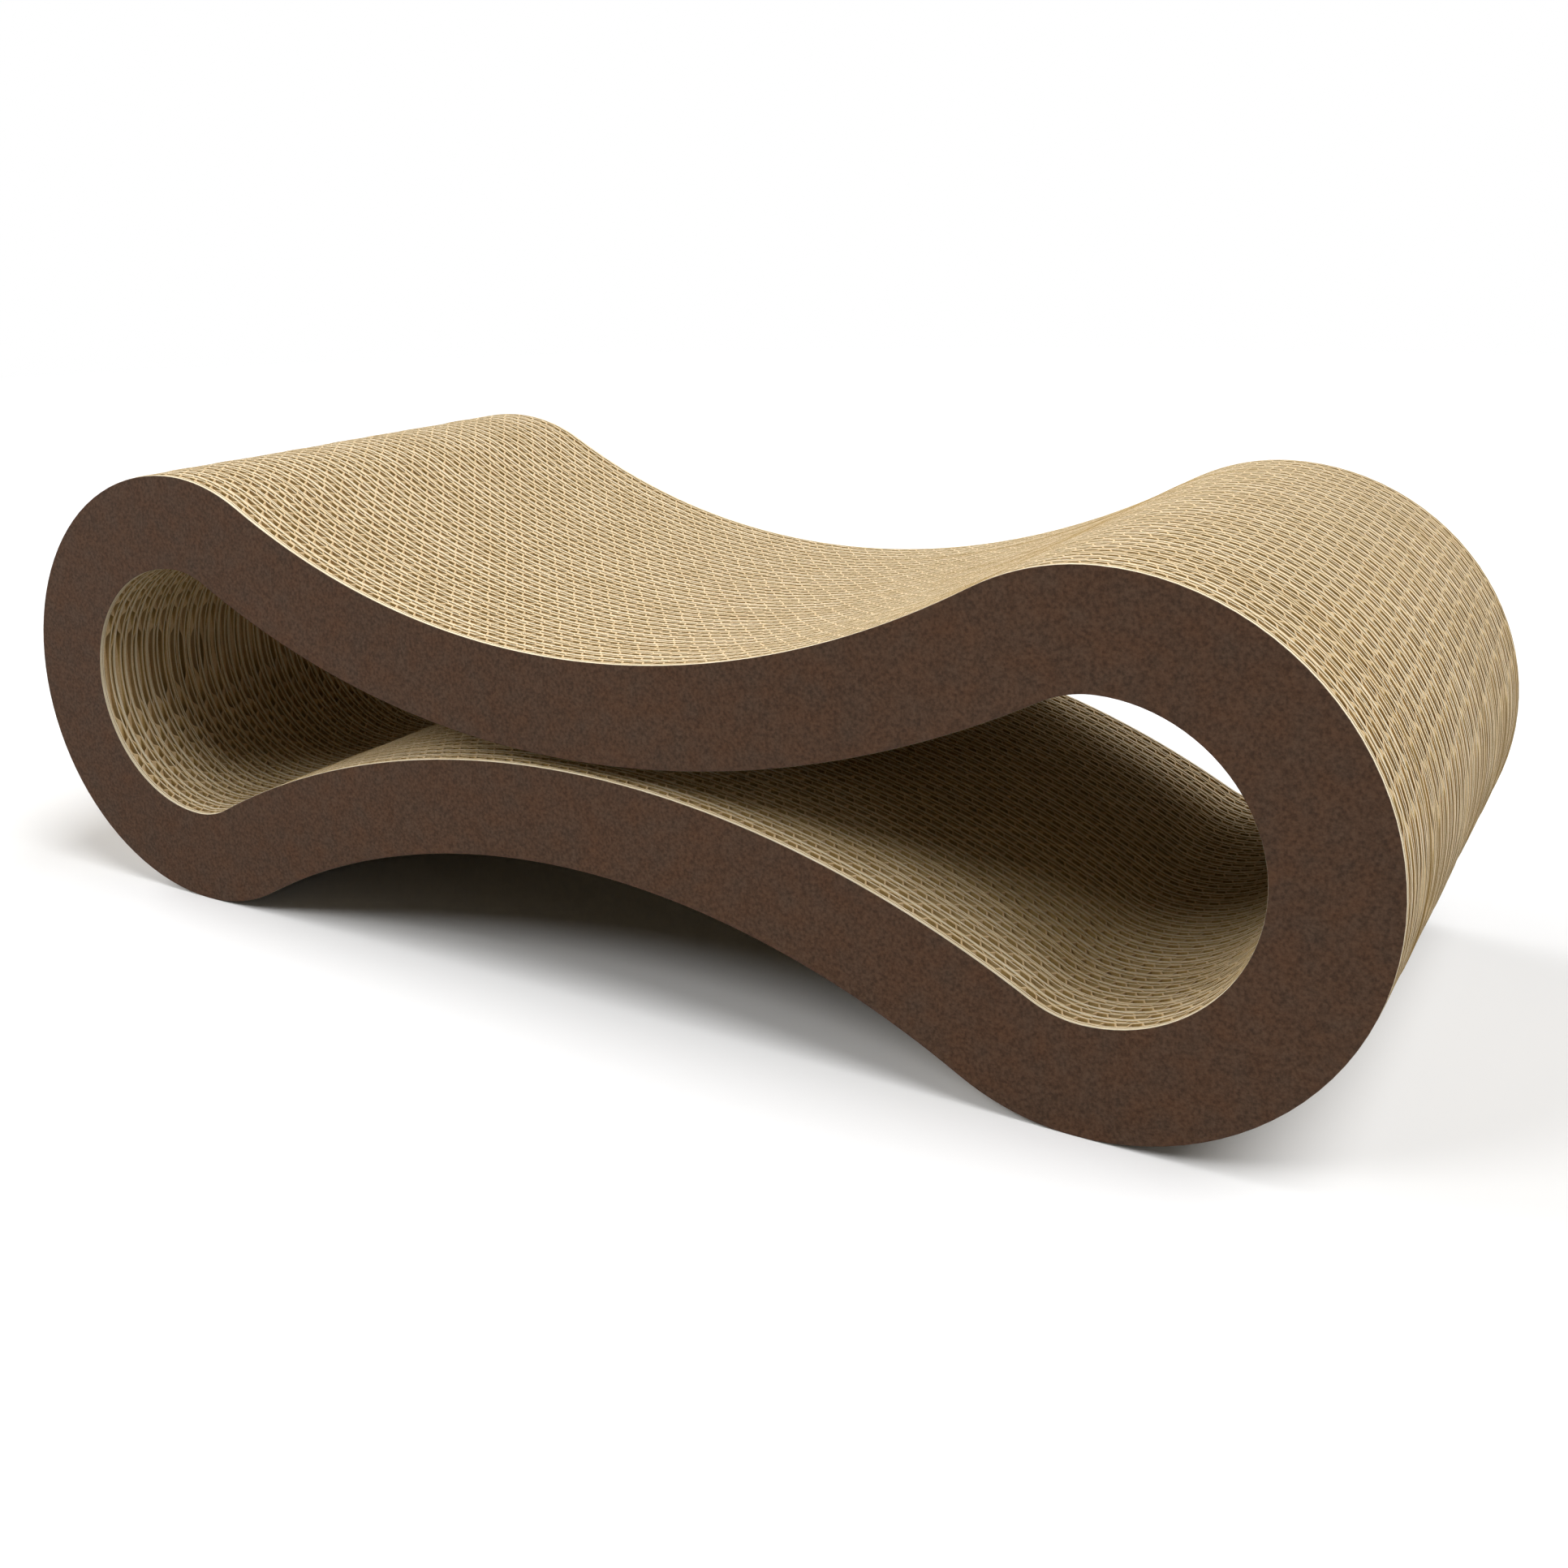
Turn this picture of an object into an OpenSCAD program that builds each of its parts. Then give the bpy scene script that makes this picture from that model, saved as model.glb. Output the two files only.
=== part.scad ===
// Lounge scratcher for a cat: a closed ring with two round lobes and a narrow
// waist, cut out of flat corrugated boards that are glued face to face across
// its width, with a brown panel over each side. The ring lies on its two lobes.
// Millimetres. X runs along the length, Y across the boards, +Z is up, and the
// origin is on the floor under the middle.

/* [Outside of the ring] */
// Overall length
length = 600; // [520:1:720]
// Overall height, which is the diameter of each round end
height = 192; // [176:1:210]
// Height over both arms at the middle of the length
waist_h = 83; // [78:0.5:96]
// Radius of the shoulder that leads from a round end to the waist
shoulder_r = 82; // [60:1:86]

/* [Cavity] */
// Wall at the two ends
end_wall = 39; // [30:0.5:42]
// Wall above and below the cavity in each lobe
lobe_wall = 40.5; // [36:0.5:42]
// Height of the slit between the two arms at the middle
slit_h = 5; // [4:0.5:8]
// Radius of the cavity's shoulder, where a lobe narrows to the slit
cavity_shoulder_r = 37; // [25:1:44]

/* [Stack] */
// Thickness of one double-wall corrugated board
board_t = 6.2; // [5:0.1:7.5]
// Number of corrugated boards across the width
board_n = 38; // [30:1:38]
// Thickness of the brown panel on each side
panel_t = 1.5; // [1:0.1:3]

/* [Hidden] */
$fn = 240;
// Colours of the two papers
kraft = "#C4AC87";
brown = "#543E33";
// Width over both panels, and the front face of the first board
width = board_n * board_t + 2 * panel_t;
front_y = -width / 2;
first_board_y = front_y + panel_t;
// How far a waist arc runs inside its shoulder circle, so that they meet in one point
arc_lap = 0.02;

// One name for each board, counted from the front panel
function two_digits(i) = i < 10 ? str("0", i) : str(i);
function board_name(i) = str("board_", two_digits(i));

// What it holds is repeated at both ends and on both sides of the middle line
module four_ways() {
    for (end = [0, 1], side = [0, 1])
        mirror([end, 0]) mirror([0, side]) children();
}

// Outline with a half round at each end. A shoulder arc touches each half round
// at its crown, and one long concave arc joins the shoulders over the waist.
module waisted_outline(long, high, middle, shoulder) {
    end_r = high / 2;
    end_x = long / 2 - end_r;
    shoulder_z = end_r - shoulder;
    crest_z = middle / 2;
    // The waist arc passes through the crest and touches the shoulder circle
    touch_r = shoulder - arc_lap;
    rise = shoulder_z - crest_z;
    waist_r = (pow(end_x, 2) + pow(rise, 2) - pow(touch_r, 2)) / (2 * (touch_r + rise));
    waist_z = crest_z + waist_r;
    // Where they touch, a share of the way from the shoulder's centre to the waist arc's
    touch_share = touch_r / (touch_r + waist_r);
    touch_x = end_x - touch_share * end_x;
    touch_z = shoulder_z + touch_share * (waist_z - shoulder_z);
    difference() {
        square([2 * touch_x, 2 * touch_z], center = true);
        for (side = [-1, 1])
            translate([0, side * waist_z]) circle(r = waist_r);
    }
    // Fills between the centres of the upper and the lower shoulder, where these lie
    // far apart, and reaches into the middle on one side and the half round on the other
    fill_w = 3 * (end_x - touch_x);
    fill_h = 2 * max(shoulder_z, arc_lap);
    for (end = [-1, 1])
        translate([end * end_x, 0]) square([fill_w, fill_h], center = true);
    four_ways() {
        intersection() {
            translate([end_x, shoulder_z]) circle(r = shoulder);
            square([end_x, end_r]);
        }
        intersection() {
            translate([end_x, 0]) circle(r = end_r);
            translate([end_x, 0]) square([end_r, end_r]);
        }
    }
}

// The die-cut shape that every board and panel shares
module ring_shape() {
    difference() {
        waisted_outline(length, height, waist_h, shoulder_r);
        waisted_outline(length - 2 * end_wall, height - 2 * lobe_wall, slit_h, cavity_shoulder_r);
    }
}

// A sheet of the ring's shape, standing on the floor with its front face at y
module ring_sheet(y, thickness) {
    translate([0, y + thickness, height / 2])
        rotate([90, 0, 0])
            linear_extrude(thickness) ring_shape();
}

module side_panel_front() {
    color(brown) ring_sheet(front_y, panel_t);
}

module side_panel_back() {
    color(brown) ring_sheet(first_board_y + board_n * board_t, panel_t);
}

module board(i) {
    color(kraft) ring_sheet(first_board_y + (i - 1) * board_t, board_t);
}

side_panel_front();
side_panel_back();
for (i = [1:board_n])
    board(i);
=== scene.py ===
# %% [markdown]
# This lesson dresses a lounge scratcher for a cat. The real one is a stack of 38 flat boards.
# Each board is double-wall corrugated: three flat kraft papers with a tall fluted paper and a
# low fluted paper between them. A steel rule die cuts every board to the same ring, the boards
# are glued face to face, and a thin brown panel closes each side. Nothing on it moves.
# The measured model comes in first as a fixed frame, and all new pieces take their places from it.

# %% Load the frame
import math
import random
import bpy
from mathutils import Matrix, Vector


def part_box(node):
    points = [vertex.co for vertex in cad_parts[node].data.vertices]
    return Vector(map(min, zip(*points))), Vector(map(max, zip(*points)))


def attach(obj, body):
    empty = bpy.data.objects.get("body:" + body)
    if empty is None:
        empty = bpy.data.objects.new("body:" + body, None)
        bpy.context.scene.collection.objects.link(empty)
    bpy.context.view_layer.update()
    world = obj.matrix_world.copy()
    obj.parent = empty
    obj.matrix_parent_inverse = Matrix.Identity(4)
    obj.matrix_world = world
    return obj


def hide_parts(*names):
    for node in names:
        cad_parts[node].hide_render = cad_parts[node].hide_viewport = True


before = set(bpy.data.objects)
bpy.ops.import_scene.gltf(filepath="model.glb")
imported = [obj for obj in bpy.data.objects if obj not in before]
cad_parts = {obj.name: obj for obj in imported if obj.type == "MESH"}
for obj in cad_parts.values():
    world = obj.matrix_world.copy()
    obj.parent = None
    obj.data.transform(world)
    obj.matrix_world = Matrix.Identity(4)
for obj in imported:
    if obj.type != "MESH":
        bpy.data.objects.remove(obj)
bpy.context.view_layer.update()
mm = 0.001

# %% [markdown]
# The camera comes before the pieces, so that every later render can be set against the photo.
# It looks down on the ring from the front right. A lens of about 39 mm on a full-frame sensor
# gives the strong perspective, and the photo is a cut-out of a wider picture, so the lens is
# shifted a little and not turned. Angles round an aim point are easier to read than a matrix.
# The aim, the angles, the distance and the lens were found by laying the ring's outline over
# the photo.

# %% Camera
aim = Vector((1.3, 0, 104.6)) * mm
azimuth = math.radians(31.56)
elevation = math.radians(15.34)
roll = math.radians(-1.0)
distance = 727 * mm
toward_camera = Vector((
    math.sin(azimuth) * math.cos(elevation),
    -math.cos(azimuth) * math.cos(elevation),
    math.sin(elevation),
))
bpy.ops.object.camera_add(location=aim + distance * toward_camera)
camera = bpy.context.object
camera.name = "photo_camera"
upright = (-toward_camera).to_track_quat("-Z", "Y").to_matrix()
camera.rotation_euler = (upright @ Matrix.Rotation(roll, 3, "Z")).to_euler()
camera.data.sensor_width = 36
camera.data.lens = 38.56
camera.data.shift_x = 0.0344
camera.data.shift_y = -0.0731
camera.data.clip_start = 10 * mm
bpy.context.scene.camera = camera
print("camera at", [round(c / mm) for c in camera.location], "mm")

# %% [markdown]
# Three helpers are used all the way through. Operators act on everything that is selected, and
# the frame arrives selected, so each step first leaves just one piece selected. A modifier is
# added, set and applied in one go, and a piece's place is baked into its mesh, because a finished
# piece has its object at the origin.

# %% Helpers for operators
def only(piece):
    """Goes to object mode with this piece alone selected and active."""
    if bpy.context.object and bpy.context.object.mode != "OBJECT":
        bpy.ops.object.mode_set(mode="OBJECT")
    bpy.ops.object.select_all(action="DESELECT")
    piece.select_set(True)
    bpy.context.view_layer.objects.active = piece
    return piece


def apply_modifier(piece, kind, **settings):
    """Adds a modifier of this kind, sets it and applies it."""
    only(piece)
    bpy.ops.object.modifier_add(type=kind)
    modifier = piece.modifiers[-1]
    for setting, value in settings.items():
        setattr(modifier, setting, value)
    bpy.ops.object.modifier_apply(modifier=modifier.name)


def move(piece, x=0, y=0, z=0):
    """Moves a piece and bakes the move into its mesh."""
    only(piece)
    bpy.ops.transform.translate(value=(x, y, z))
    bpy.ops.object.transform_apply(location=True, rotation=True, scale=True)


# %% [markdown]
# The ring's edge is made of arcs: a long hollow arc over the waist, a shoulder arc, and a
# quarter round down to the tip. Points could be computed one by one, but the spin tool draws
# just such arcs: one vertex starts at the middle of the waist and is spun about three centres
# in turn. The spin tool turns against the right-hand rule here, so its axis points to the
# camera and not away from it. A mirror to both sides then closes the loop. Both edges of the
# ring get the same number of points, so the wall between them can be bridged with clean
# four-sided faces.

# %% Sizes of the die
panel_low, panel_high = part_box("side_panel_front")
length = panel_high.x - panel_low.x
height = panel_high.z - panel_low.z
waist_height = 83 * mm
shoulder_radius = 82 * mm
end_wall = 39 * mm
lobe_wall = 40.5 * mm
slit_height = 5 * mm
cavity_shoulder_radius = 37 * mm
arc_steps = {"waist": 28, "shoulder": 10, "end": 24}
weld = 0.01 * mm
print("ring", round(length / mm, 1), "by", round(height / mm, 1), "mm")


# %% One edge of the ring
def ring_edge(long, high, middle, shoulder):
    """A closed loop of edges round the origin, upright, with a half round at each end."""
    end_radius = high / 2
    end_x = long / 2 - end_radius
    shoulder_z = end_radius - shoulder
    crest_z = middle / 2
    rise = shoulder_z - crest_z
    waist_radius = (end_x**2 + rise**2 - shoulder**2) / (2 * (shoulder + rise))
    waist_z = crest_z + waist_radius
    turn = math.atan2(end_x, waist_z - shoulder_z)
    bpy.ops.object.select_all(action="DESELECT")
    bpy.ops.mesh.primitive_plane_add(size=middle, location=(0, 0, crest_z))
    edge = bpy.context.object
    bpy.ops.object.transform_apply(location=True)
    bpy.ops.object.mode_set(mode="EDIT")
    bpy.ops.mesh.select_all(action="SELECT")
    bpy.ops.mesh.merge(type="CENTER")
    spins = (
        ("waist", -turn, (0, 0, waist_z)),
        ("shoulder", turn, (end_x, 0, shoulder_z)),
        ("end", math.pi / 2, (end_x, 0, 0)),
    )
    for arc, angle, centre in spins:
        bpy.ops.mesh.spin(steps=arc_steps[arc], angle=angle, center=centre, axis=(0, -1, 0))
    bpy.ops.object.mode_set(mode="OBJECT")
    apply_modifier(edge, "MIRROR", use_axis=(True, False, True), merge_threshold=weld)
    return edge


# %% A flat sheet of the ring's shape
def ring_sheet(name, thickness, front=0):
    """Bridges the outer and the inner edge, and extrudes the wall back from its front."""
    sheet = ring_edge(length, height, waist_height, shoulder_radius)
    sheet.name = name
    cavity = ring_edge(
        length - 2 * end_wall, height - 2 * lobe_wall, slit_height, cavity_shoulder_radius
    )
    only(sheet)
    cavity.select_set(True)
    bpy.ops.object.join()
    bpy.ops.object.mode_set(mode="EDIT")
    bpy.ops.mesh.select_all(action="SELECT")
    bpy.ops.mesh.bridge_edge_loops()
    bpy.ops.mesh.select_all(action="SELECT")
    bpy.ops.mesh.extrude_region_move(TRANSFORM_OT_translate={"value": (0, thickness, 0)})
    bpy.ops.mesh.select_all(action="SELECT")
    bpy.ops.mesh.normals_make_consistent(inside=False)
    bpy.ops.object.mode_set(mode="OBJECT")
    move(sheet, y=front, z=height / 2)
    return sheet


# %% [markdown]
# The papers' colours are sRGB values, as a colour picker shows them, and Blender's shaders want
# linear light, so one function turns them. A second small function adds a node with its settings
# and links. Every pattern reads Object coordinates, which are in metres here, so a scale of one
# over the real size of a fleck gives flecks of that size.

# %% Helpers for materials
def linear(code):
    """Linear colour of an sRGB hex code."""
    shares = [int(code[i : i + 2], 16) / 255 for i in (1, 3, 5)]
    return [s / 12.92 if s < 0.04045 else ((s + 0.055) / 1.055) ** 2.4 for s in shares] + [1]


def add(tree, kind, links=None, **settings):
    """Adds a shader node, sets its properties or inputs, and links the given outputs to inputs."""
    node = tree.nodes.new(kind)
    for name, value in settings.items():
        if hasattr(node, name):
            setattr(node, name, value)
        else:
            node.inputs[name.replace("_", " ")].default_value = value
    for name, output in (links or {}).items():
        tree.links.new(output, node.inputs[name])
    return node


def new_material(name, roughness, **shader_settings):
    """An empty material with one shader, and the Object coordinates for its patterns."""
    material = bpy.data.materials.new(name)
    material.use_nodes = True
    tree = material.node_tree
    shader = tree.nodes["Principled BSDF"]
    shader.inputs["Roughness"].default_value = roughness
    for setting, value in shader_settings.items():
        shader.inputs[setting.replace("_", " ")].default_value = value
    place = add(tree, "ShaderNodeTexCoord").outputs["Object"]
    return material, tree, shader, place


# %% [markdown]
# Kraft liner is unbleached pine paper, pressed flat and left uncoated. The eye sees a warm tan
# that is quite matt, with short fibres and faint clouds. The fluted paper between the liners is
# recycled, so it is darker. Where the die has cut, the fibres stand up, so the cut edges are drawn
# paler and softer than the sheets inside the holes. The paleness is partly the real fuzz of cut
# fibres and partly a painted highlight for the light that this rim catches. The edges of the
# liners make pale lines along the boards, and the edges of the flutes stay tan between them. A
# real fibre is too fine to show from here, so the pattern of fibres is drawn over half a
# millimetre coarse.

# %% Papers
paper_specular = 0.25


def paper(name, light, dark, cloud=14 * mm, fibre=0.6 * mm, roughness=0.9, bump=0.12 * mm):
    """Uncoated paper: two tones mixed by soft clouds and by fine fibres."""
    material, tree, shader, place = new_material(
        name, roughness, Specular_IOR_Level=paper_specular
    )
    clouds = add(tree, "ShaderNodeTexNoise", {"Vector": place}, Scale=1 / cloud, Detail=3)
    fibres = add(tree, "ShaderNodeTexNoise", {"Vector": place}, Scale=1 / fibre, Detail=2)
    both = add(
        tree,
        "ShaderNodeMath",
        {0: clouds.outputs[0], 1: fibres.outputs[0]},
        operation="ADD",
    )
    share = add(
        tree, "ShaderNodeMapRange", {"Value": both.outputs[0]}, From_Min=0.7, From_Max=1.3
    )
    tone = add(
        tree,
        "ShaderNodeMix",
        {"Factor": share.outputs[0]},
        data_type="RGBA",
        A=linear(dark),
        B=linear(light),
    )
    nap = add(tree, "ShaderNodeBump", {"Height": fibres.outputs[0]}, Distance=bump, Strength=0.6)
    tree.links.new(tone.outputs["Result"], shader.inputs["Base Color"])
    tree.links.new(nap.outputs[0], shader.inputs["Normal"])
    return material


kraft_liner = paper("kraft_liner_paper", "#D3B782", "#C2A46C")
fluting = paper("recycled_fluting_paper", "#C4A56A", "#B19155")
# The two edge papers are paler than the sheets partly for the fuzz of cut fibres and partly as a
# painted highlight on the rim.
cut_edge_and_highlight = paper("die_cut_liner_edge_and_highlight", "#F6EACF", "#E9DAB8", fibre=0.8 * mm, bump=0.2 * mm)
flute_edge_and_highlight = paper("die_cut_fluting_edge_and_highlight", "#E6CB9E", "#D3B484", fibre=0.8 * mm, bump=0.2 * mm)
print("papers", [paper_kind.name for paper_kind in (kraft_liner, fluting, cut_edge_and_highlight, flute_edge_and_highlight)])

# %% [markdown]
# The side panels are board with a brown printed face. The print sinks into the paper, so it is
# matt and mottled: dark and light flecks about a millimetre across, on patches of warmer and
# cooler brown about a centimetre wide, over broad and very faint clouds. The cut edge of the
# panel is not printed and gets the pale edge paper of the boards, which is partly a painted
# highlight.

# %% Brown face
def brown_print():
    """Brown printed paper with fine warm and cool flecks."""
    material, tree, shader, place = new_material(
        "brown_printed_paper", roughness=0.8, Specular_IOR_Level=paper_specular
    )
    fleck_size = 1.2 * mm
    patch_size = 9 * mm
    cloud_size = 90 * mm
    fleck = add(tree, "ShaderNodeTexNoise", {"Vector": place}, Scale=1 / fleck_size, Detail=3)
    patch = add(tree, "ShaderNodeTexNoise", {"Vector": place}, Scale=1 / patch_size, Detail=5)
    cloud = add(tree, "ShaderNodeTexNoise", {"Vector": place}, Scale=1 / cloud_size, Detail=2)
    warmth = add(
        tree, "ShaderNodeMapRange", {"Value": patch.outputs[0]}, From_Min=0.25, From_Max=0.75
    )
    base = add(
        tree,
        "ShaderNodeMix",
        {"Factor": warmth.outputs[0]},
        data_type="RGBA",
        A=linear("#604B3C"),
        B=linear("#674935"),
    )
    grain = add(
        tree,
        "ShaderNodeMapRange",
        {"Value": fleck.outputs[0]},
        From_Min=0.3,
        From_Max=0.7,
        To_Min=0.66,
        To_Max=1.34,
    )
    shade = add(tree, "ShaderNodeMapRange", {"Value": cloud.outputs[0]}, To_Min=0.92, To_Max=1.08)
    level = add(
        tree,
        "ShaderNodeMath",
        {0: grain.outputs[0], 1: shade.outputs[0]},
        operation="MULTIPLY",
    )
    tone = add(
        tree,
        "ShaderNodeVectorMath",
        {0: base.outputs["Result"], "Scale": level.outputs[0]},
        operation="SCALE",
    )
    nap_height = 0.1 * mm
    nap = add(
        tree, "ShaderNodeBump", {"Height": fleck.outputs[0]}, Distance=nap_height, Strength=0.4
    )
    tree.links.new(tone.outputs[0], shader.inputs["Base Color"])
    tree.links.new(nap.outputs[0], shader.inputs["Normal"])
    return material


brown_face = brown_print()
print("brown face", brown_face.name)

# %% [markdown]
# A side panel is the plain ring sheet, thin, with the brown print on its outer face only. The
# faces are given their paper by the way they point. The rim is rounded by a fifth of a
# millimetre, as a cut board's edge is, so that a fine line of light runs round it. Shading is
# smoothed along the arcs only: a wider angle would also smooth over the rim, and the flat face
# would then look like a cushion. A face belongs to a sheet's flat side when its normal keeps
# within 60 degrees of the stack's direction, and half is the cosine of that angle.

# %% Faces by direction
facing = 0.5


def paint(piece, papers, pick):
    """Gives each face one of the papers, by a function of its normal."""
    for paper_kind in papers:
        piece.data.materials.append(paper_kind)
    for face in piece.data.polygons:
        face.material_index = pick(face.normal)


# %% Side panels
rim_round = 0.2 * mm
arc_turn = math.radians(15)
panels = []
for node, outward in (("side_panel_front", -1), ("side_panel_back", 1)):
    low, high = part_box(node)
    panel = ring_sheet("brown_" + node, high.y - low.y, front=low.y)
    apply_modifier(panel, "BEVEL", width=rim_round, segments=2, limit_method="ANGLE")
    paint(panel, (brown_face, cut_edge_and_highlight), lambda normal: 0 if normal.y * outward > facing else 1)
    only(panel)
    bpy.ops.object.shade_smooth_by_angle(angle=arc_turn)
    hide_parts(node)
    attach(panel, "root")
    panels.append(panel)
    print(panel.name, len(panel.data.polygons), "faces")

# %% [markdown]
# A fluted paper is one wave, repeated. A grid of five columns stands upright. Its two middle
# lines of points are spread and pushed back, which makes the crest, and the next two are set
# where the trough starts, a steep flank away. A bevel rounds the bends, an array repeats the
# wave, and a Solidify gives the paper its thickness. A wave texture in the material would be
# cheaper, but the cut edges show real holes from every side, so the flutes are real.
#
# The papers are drawn about twice as thick as real ones. The die leaves a fluffy rim on every
# cut, and this rim is what the eye reads as the paper's edge.

# %% Sizes of the corrugated board
board_low, board_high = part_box("board_01")
board_thickness = board_high.y - board_low.y
board_count = sum(name.startswith("board_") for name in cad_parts)
liner_thickness = 0.55 * mm
fluting_thickness = 0.6 * mm
glue_gap = 0.01 * mm
large_pitch = 9.0 * mm
small_pitch = 7.7 * mm
large_share = 0.64
space = board_thickness - 3 * liner_thickness
large_space = large_share * space
small_space = space - large_space
grid_columns = 5
flank_share = 0.1
bend_round = 0.35 * mm
row_height = 1.1 * height
spare_waves = 2
print(board_count, "boards of", round(board_thickness / mm, 2), "mm")


# %% One row of flutes
def select_columns(row, distance):
    """Selects the two columns of points that lie this far from the middle."""
    bpy.ops.object.mode_set(mode="EDIT")
    bpy.ops.mesh.select_all(action="DESELECT")
    bpy.ops.object.mode_set(mode="OBJECT")
    for vertex in row.data.vertices:
        vertex.select = abs(abs(vertex.co.x) - distance) < weld
    bpy.ops.object.mode_set(mode="EDIT")


def fluted_paper(name, pitch, clear_space, front):
    """A long sheet with upright flutes, a pitch or more past the ring at each end."""
    wave = clear_space - fluting_thickness - 2 * glue_gap
    bpy.ops.object.select_all(action="DESELECT")
    bpy.ops.mesh.primitive_grid_add(
        x_subdivisions=grid_columns, y_subdivisions=1, size=1, rotation=(math.pi / 2, 0, 0)
    )
    row = bpy.context.object
    row.name = name
    row.scale = (pitch, row_height, 1)
    bpy.ops.object.transform_apply(location=True, rotation=True, scale=True)
    inner = pitch / grid_columns / 2
    outer = 3 * inner
    crest_end = (0.5 - flank_share) / 2 * pitch
    trough_start = (0.5 + flank_share) / 2 * pitch
    select_columns(row, inner)
    bpy.ops.transform.resize(value=(crest_end / inner, 1, 1), center_override=(0, 0, 0))
    bpy.ops.transform.translate(value=(0, wave, 0))
    select_columns(row, outer)
    bpy.ops.transform.resize(value=(trough_start / outer, 1, 1), center_override=(0, 0, 0))
    bpy.ops.mesh.select_all(action="DESELECT")
    bpy.ops.object.mode_set(mode="OBJECT")
    for edge in row.data.edges:
        ends = [row.data.vertices[i].co for i in edge.vertices]
        upright = abs(ends[0].x - ends[1].x) < weld
        edge.select = upright and abs(ends[0].x) < pitch / 2 - weld
    bpy.ops.object.mode_set(mode="EDIT")
    bpy.ops.mesh.select_mode(type="EDGE")
    bpy.ops.mesh.bevel(offset=bend_round, segments=1, affect="EDGES")
    bpy.ops.mesh.select_mode(type="VERT")
    bpy.ops.object.mode_set(mode="OBJECT")
    count = math.ceil(length / pitch) + spare_waves
    apply_modifier(
        row,
        "ARRAY",
        count=count,
        use_relative_offset=False,
        use_constant_offset=True,
        constant_offset_displace=(pitch, 0, 0),
        use_merge_vertices=True,
        merge_threshold=weld,
    )
    apply_modifier(row, "SOLIDIFY", thickness=fluting_thickness, offset=0)
    touch_y = front + glue_gap + fluting_thickness / 2
    move(row, x=-(count - 1) / 2 * pitch, y=touch_y, z=height / 2)
    return row


large_front = liner_thickness
small_front = large_front + large_space + liner_thickness
large_flutes = fluted_paper("large_flutes", large_pitch, large_space, large_front)
small_flutes = fluted_paper("small_flutes", small_pitch, small_space, small_front)
print("flutes", len(large_flutes.data.polygons), "and", len(small_flutes.data.polygons), "faces")

# %% [markdown]
# The three liners are ring sheets. They are made once, painted and joined, and every board
# gets a copy. The die is the same ring again, but deep enough to pass right through a board.

# %% Liners and die
def by_cut(normal):
    """Slot 0 for a sheet's face and slot 1 for its cut edge, which lies across the stack."""
    return 0 if abs(normal.y) > facing else 1


liner_fronts = (glue_gap, large_front + large_space, board_thickness - liner_thickness)
liners = []
for front in liner_fronts:
    liner = ring_sheet("liner", liner_thickness - glue_gap, front=front)
    paint(liner, (kraft_liner, cut_edge_and_highlight), by_cut)
    liners.append(liner)
only(liners[0])
for liner in liners[1:]:
    liner.select_set(True)
bpy.ops.object.join()
liner_set = bpy.context.object
die_reach = 2 * mm
die = ring_sheet("die", board_thickness + 2 * die_reach, front=-die_reach)
print("liner set", len(liner_set.data.polygons), "faces")

# %% [markdown]
# At the mill the die comes down anywhere along the flutes, so no two boards are cut alike. From
# one board to the next the tall flutes step on by a little under half a pitch, which sets
# their holes in staggered rows, and the low flutes step back by about as much. Both steps vary a
# little, and each board slips a fraction of a millimetre in the glue. The numbers are drawn from
# a fixed seed, so every run builds the same stack.

# %% Cut one board
def copy_of(piece, name):
    """A copy with a mesh of its own."""
    only(piece)
    bpy.ops.object.duplicate(linked=False)
    twin = bpy.context.object
    twin.name = name
    return twin


def cut_flutes(flutes, shift):
    """A copy of the fluted paper, moved along and cut. The cut leaves an empty material slot."""
    sheet = copy_of(flutes, "cut_sheet")
    move(sheet, x=shift)
    apply_modifier(sheet, "BOOLEAN", operation="INTERSECT", solver="MANIFOLD", object=die)
    sheet.data.materials.clear()
    paint(sheet, (fluting, flute_edge_and_highlight), by_cut)
    return sheet


# %% Stack the boards
large_step_share = 0.46
small_step_share = -0.45
step_jitter_share = 0.03
slip = 0.3 * mm
bend_turn = math.radians(60)
seed = 38
draw = random.Random(seed)
large_phase = 0.2
small_phase = 0.6
boards = []
for number in range(1, board_count + 1):
    node = f"board_{number:02d}"
    sheets = [
        cut_flutes(large_flutes, (large_phase % 1 - 0.5) * large_pitch),
        cut_flutes(small_flutes, (small_phase % 1 - 0.5) * small_pitch),
    ]
    board = copy_of(liner_set, "corrugated_" + node)
    for sheet in sheets:
        sheet.select_set(True)
    bpy.ops.object.join()
    move(board, x=draw.uniform(-slip, slip), y=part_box(node)[0].y, z=draw.uniform(0, slip))
    bpy.ops.object.shade_smooth_by_angle(angle=bend_turn)
    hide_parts(node)
    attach(board, "root")
    boards.append(board)
    large_phase += large_step_share + draw.uniform(-step_jitter_share, step_jitter_share)
    small_phase += small_step_share + draw.uniform(-step_jitter_share, step_jitter_share)
print(len(boards), "boards,", sum(len(b.data.polygons) for b in boards), "faces")

# %% Put the tools away
for tool in (large_flutes, small_flutes, liner_set, die):
    bpy.data.objects.remove(tool)
print("pieces left", len(panels) + len(boards))

# %% [markdown]
# The stage is a plain pale floor. The lamps light it a little above its own colour, so that it
# shows white round the object's shadow. A white floor also throws much light up into a hollow
# object, more than a studio table does, so only the camera sees it near white, and the light
# that bounces off it is grey. Far from the object it melts into the white of the world, so that
# no horizon shows.

# %% Floor
floor_size = 16
fade_start = 0.9
fade_end = 3
bpy.ops.object.select_all(action="DESELECT")
bpy.ops.mesh.primitive_plane_add(size=floor_size)
floor = bpy.context.object
floor.name = "floor"


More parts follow.
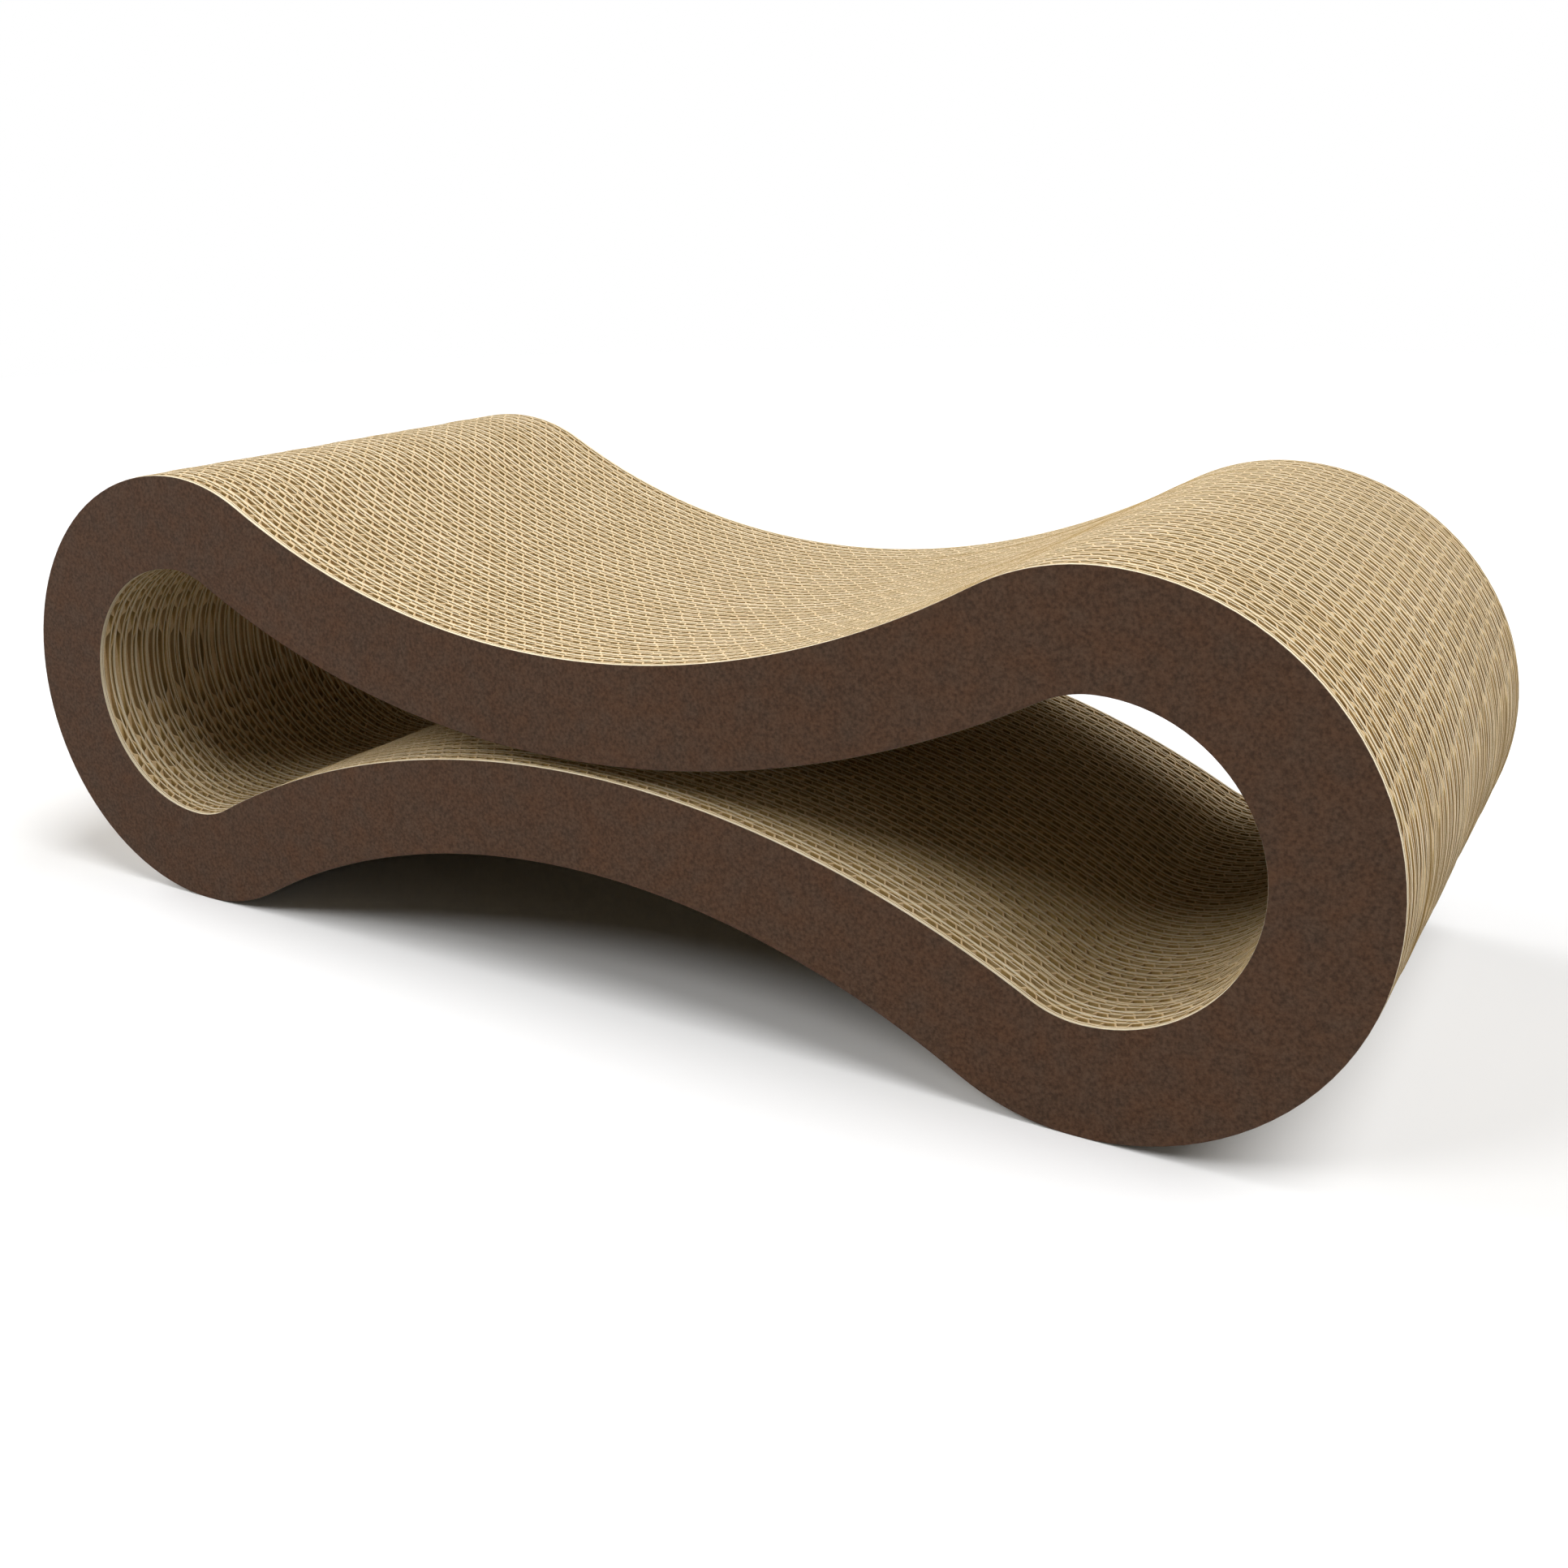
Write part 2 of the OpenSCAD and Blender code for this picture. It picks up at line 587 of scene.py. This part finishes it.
def floor_finish():
    """Pale matt floor, white for the camera and grey for bounced light."""
    material, tree, shader, place = new_material(
        "pale_studio_floor", roughness=1.0, Specular_IOR_Level=0
    )
    rays = add(tree, "ShaderNodeLightPath")
    tone = add(
        tree,
        "ShaderNodeMix",
        {"Factor": rays.outputs["Is Camera Ray"]},
        data_type="RGBA",
        A=linear("#7E7D7B"),
        B=linear("#FAFAFA"),
    )
    tree.links.new(tone.outputs["Result"], shader.inputs["Base Color"])
    reach = add(tree, "ShaderNodeVectorMath", {0: place}, operation="LENGTH")
    fade = add(
        tree,
        "ShaderNodeMapRange",
        {"Value": reach.outputs["Value"]},
        From_Min=fade_start,
        From_Max=fade_end,
    )
    seen = add(
        tree,
        "ShaderNodeMath",
        {0: fade.outputs[0], 1: rays.outputs["Is Camera Ray"]},
        operation="MULTIPLY",
    )
    white = add(tree, "ShaderNodeEmission", Strength=1.0)
    both = add(
        tree,
        "ShaderNodeMixShader",
        {"Fac": seen.outputs[0], 1: shader.outputs[0], 2: white.outputs[0]},
    )
    tree.links.new(both.outputs[0], tree.nodes["Material Output"].inputs["Surface"])
    return material


floor.data.materials.append(floor_finish())
print("floor", floor_size, "m")

# %% [markdown]
# The light is soft and comes from both ends: a broad overhead lamp from the right, and a low broad
# lamp from the left that rakes over the boards. Each leaves one wall of every hole in shade, so
# that the cut edges stand out. A faint lamp from the right fills in the round end. A weak and
# sharper front lamp lights the brown face and reaches into the cavity. The sky is nearly dark,
# because light from everywhere would fill the holes. At a level of one a colour renders as it
# was written. The left end gets about one, a face that looks straight up about a quarter more,
# the right end two thirds, and the brown face over half with the light that the floor returns.

# %% World
world = bpy.data.worlds.new("studio_world")
bpy.context.scene.world = world
world.use_nodes = True
sky = world.node_tree
rays = add(sky, "ShaderNodeLightPath")
soft = sky.nodes["Background"]
soft.inputs["Color"].default_value = linear("#FFFFFF")
soft.inputs["Strength"].default_value = 0.02
backdrop = add(sky, "ShaderNodeBackground", Color=linear("#FFFFFF"), Strength=1.0)
glossy_or_camera = add(
    sky,
    "ShaderNodeMath",
    {0: rays.outputs["Is Camera Ray"], 1: rays.outputs["Is Glossy Ray"]},
    operation="MAXIMUM",
)
seen_white = add(
    sky,
    "ShaderNodeMath",
    {0: glossy_or_camera.outputs[0], 1: rays.outputs["Is Transmission Ray"]},
    operation="MAXIMUM",
)
seen = add(
    sky,
    "ShaderNodeMixShader",
    {"Fac": seen_white.outputs[0], 1: soft.outputs[0], 2: backdrop.outputs[0]},
)
sky.links.new(seen.outputs[0], sky.nodes["World Output"].inputs["Surface"])
print("world", world.name)


# %% Lamps
def soft_lamp(name, toward, level, spread):
    """A sun that gives a face square to it this level, from the direction toward."""
    bpy.ops.object.light_add(type="SUN")
    lamp = bpy.context.object
    lamp.name = name
    lamp.data.energy = level * math.pi
    lamp.data.angle = math.radians(spread)
    lamp.rotation_euler = Vector(toward).to_track_quat("Z", "Y").to_euler()
    return lamp


soft_lamp("overhead_lamp", (0.6, 0, 1), level=0.90, spread=50)
soft_lamp("left_lamp", (-1, 0, 0.35), level=0.96, spread=50)
soft_lamp("right_lamp", (1, 0, 0.1), level=0.22, spread=50)
soft_lamp("front_lamp", (-0.70, -1, 1.10), level=0.25, spread=22)
bpy.context.scene.view_settings.view_transform = "Standard"
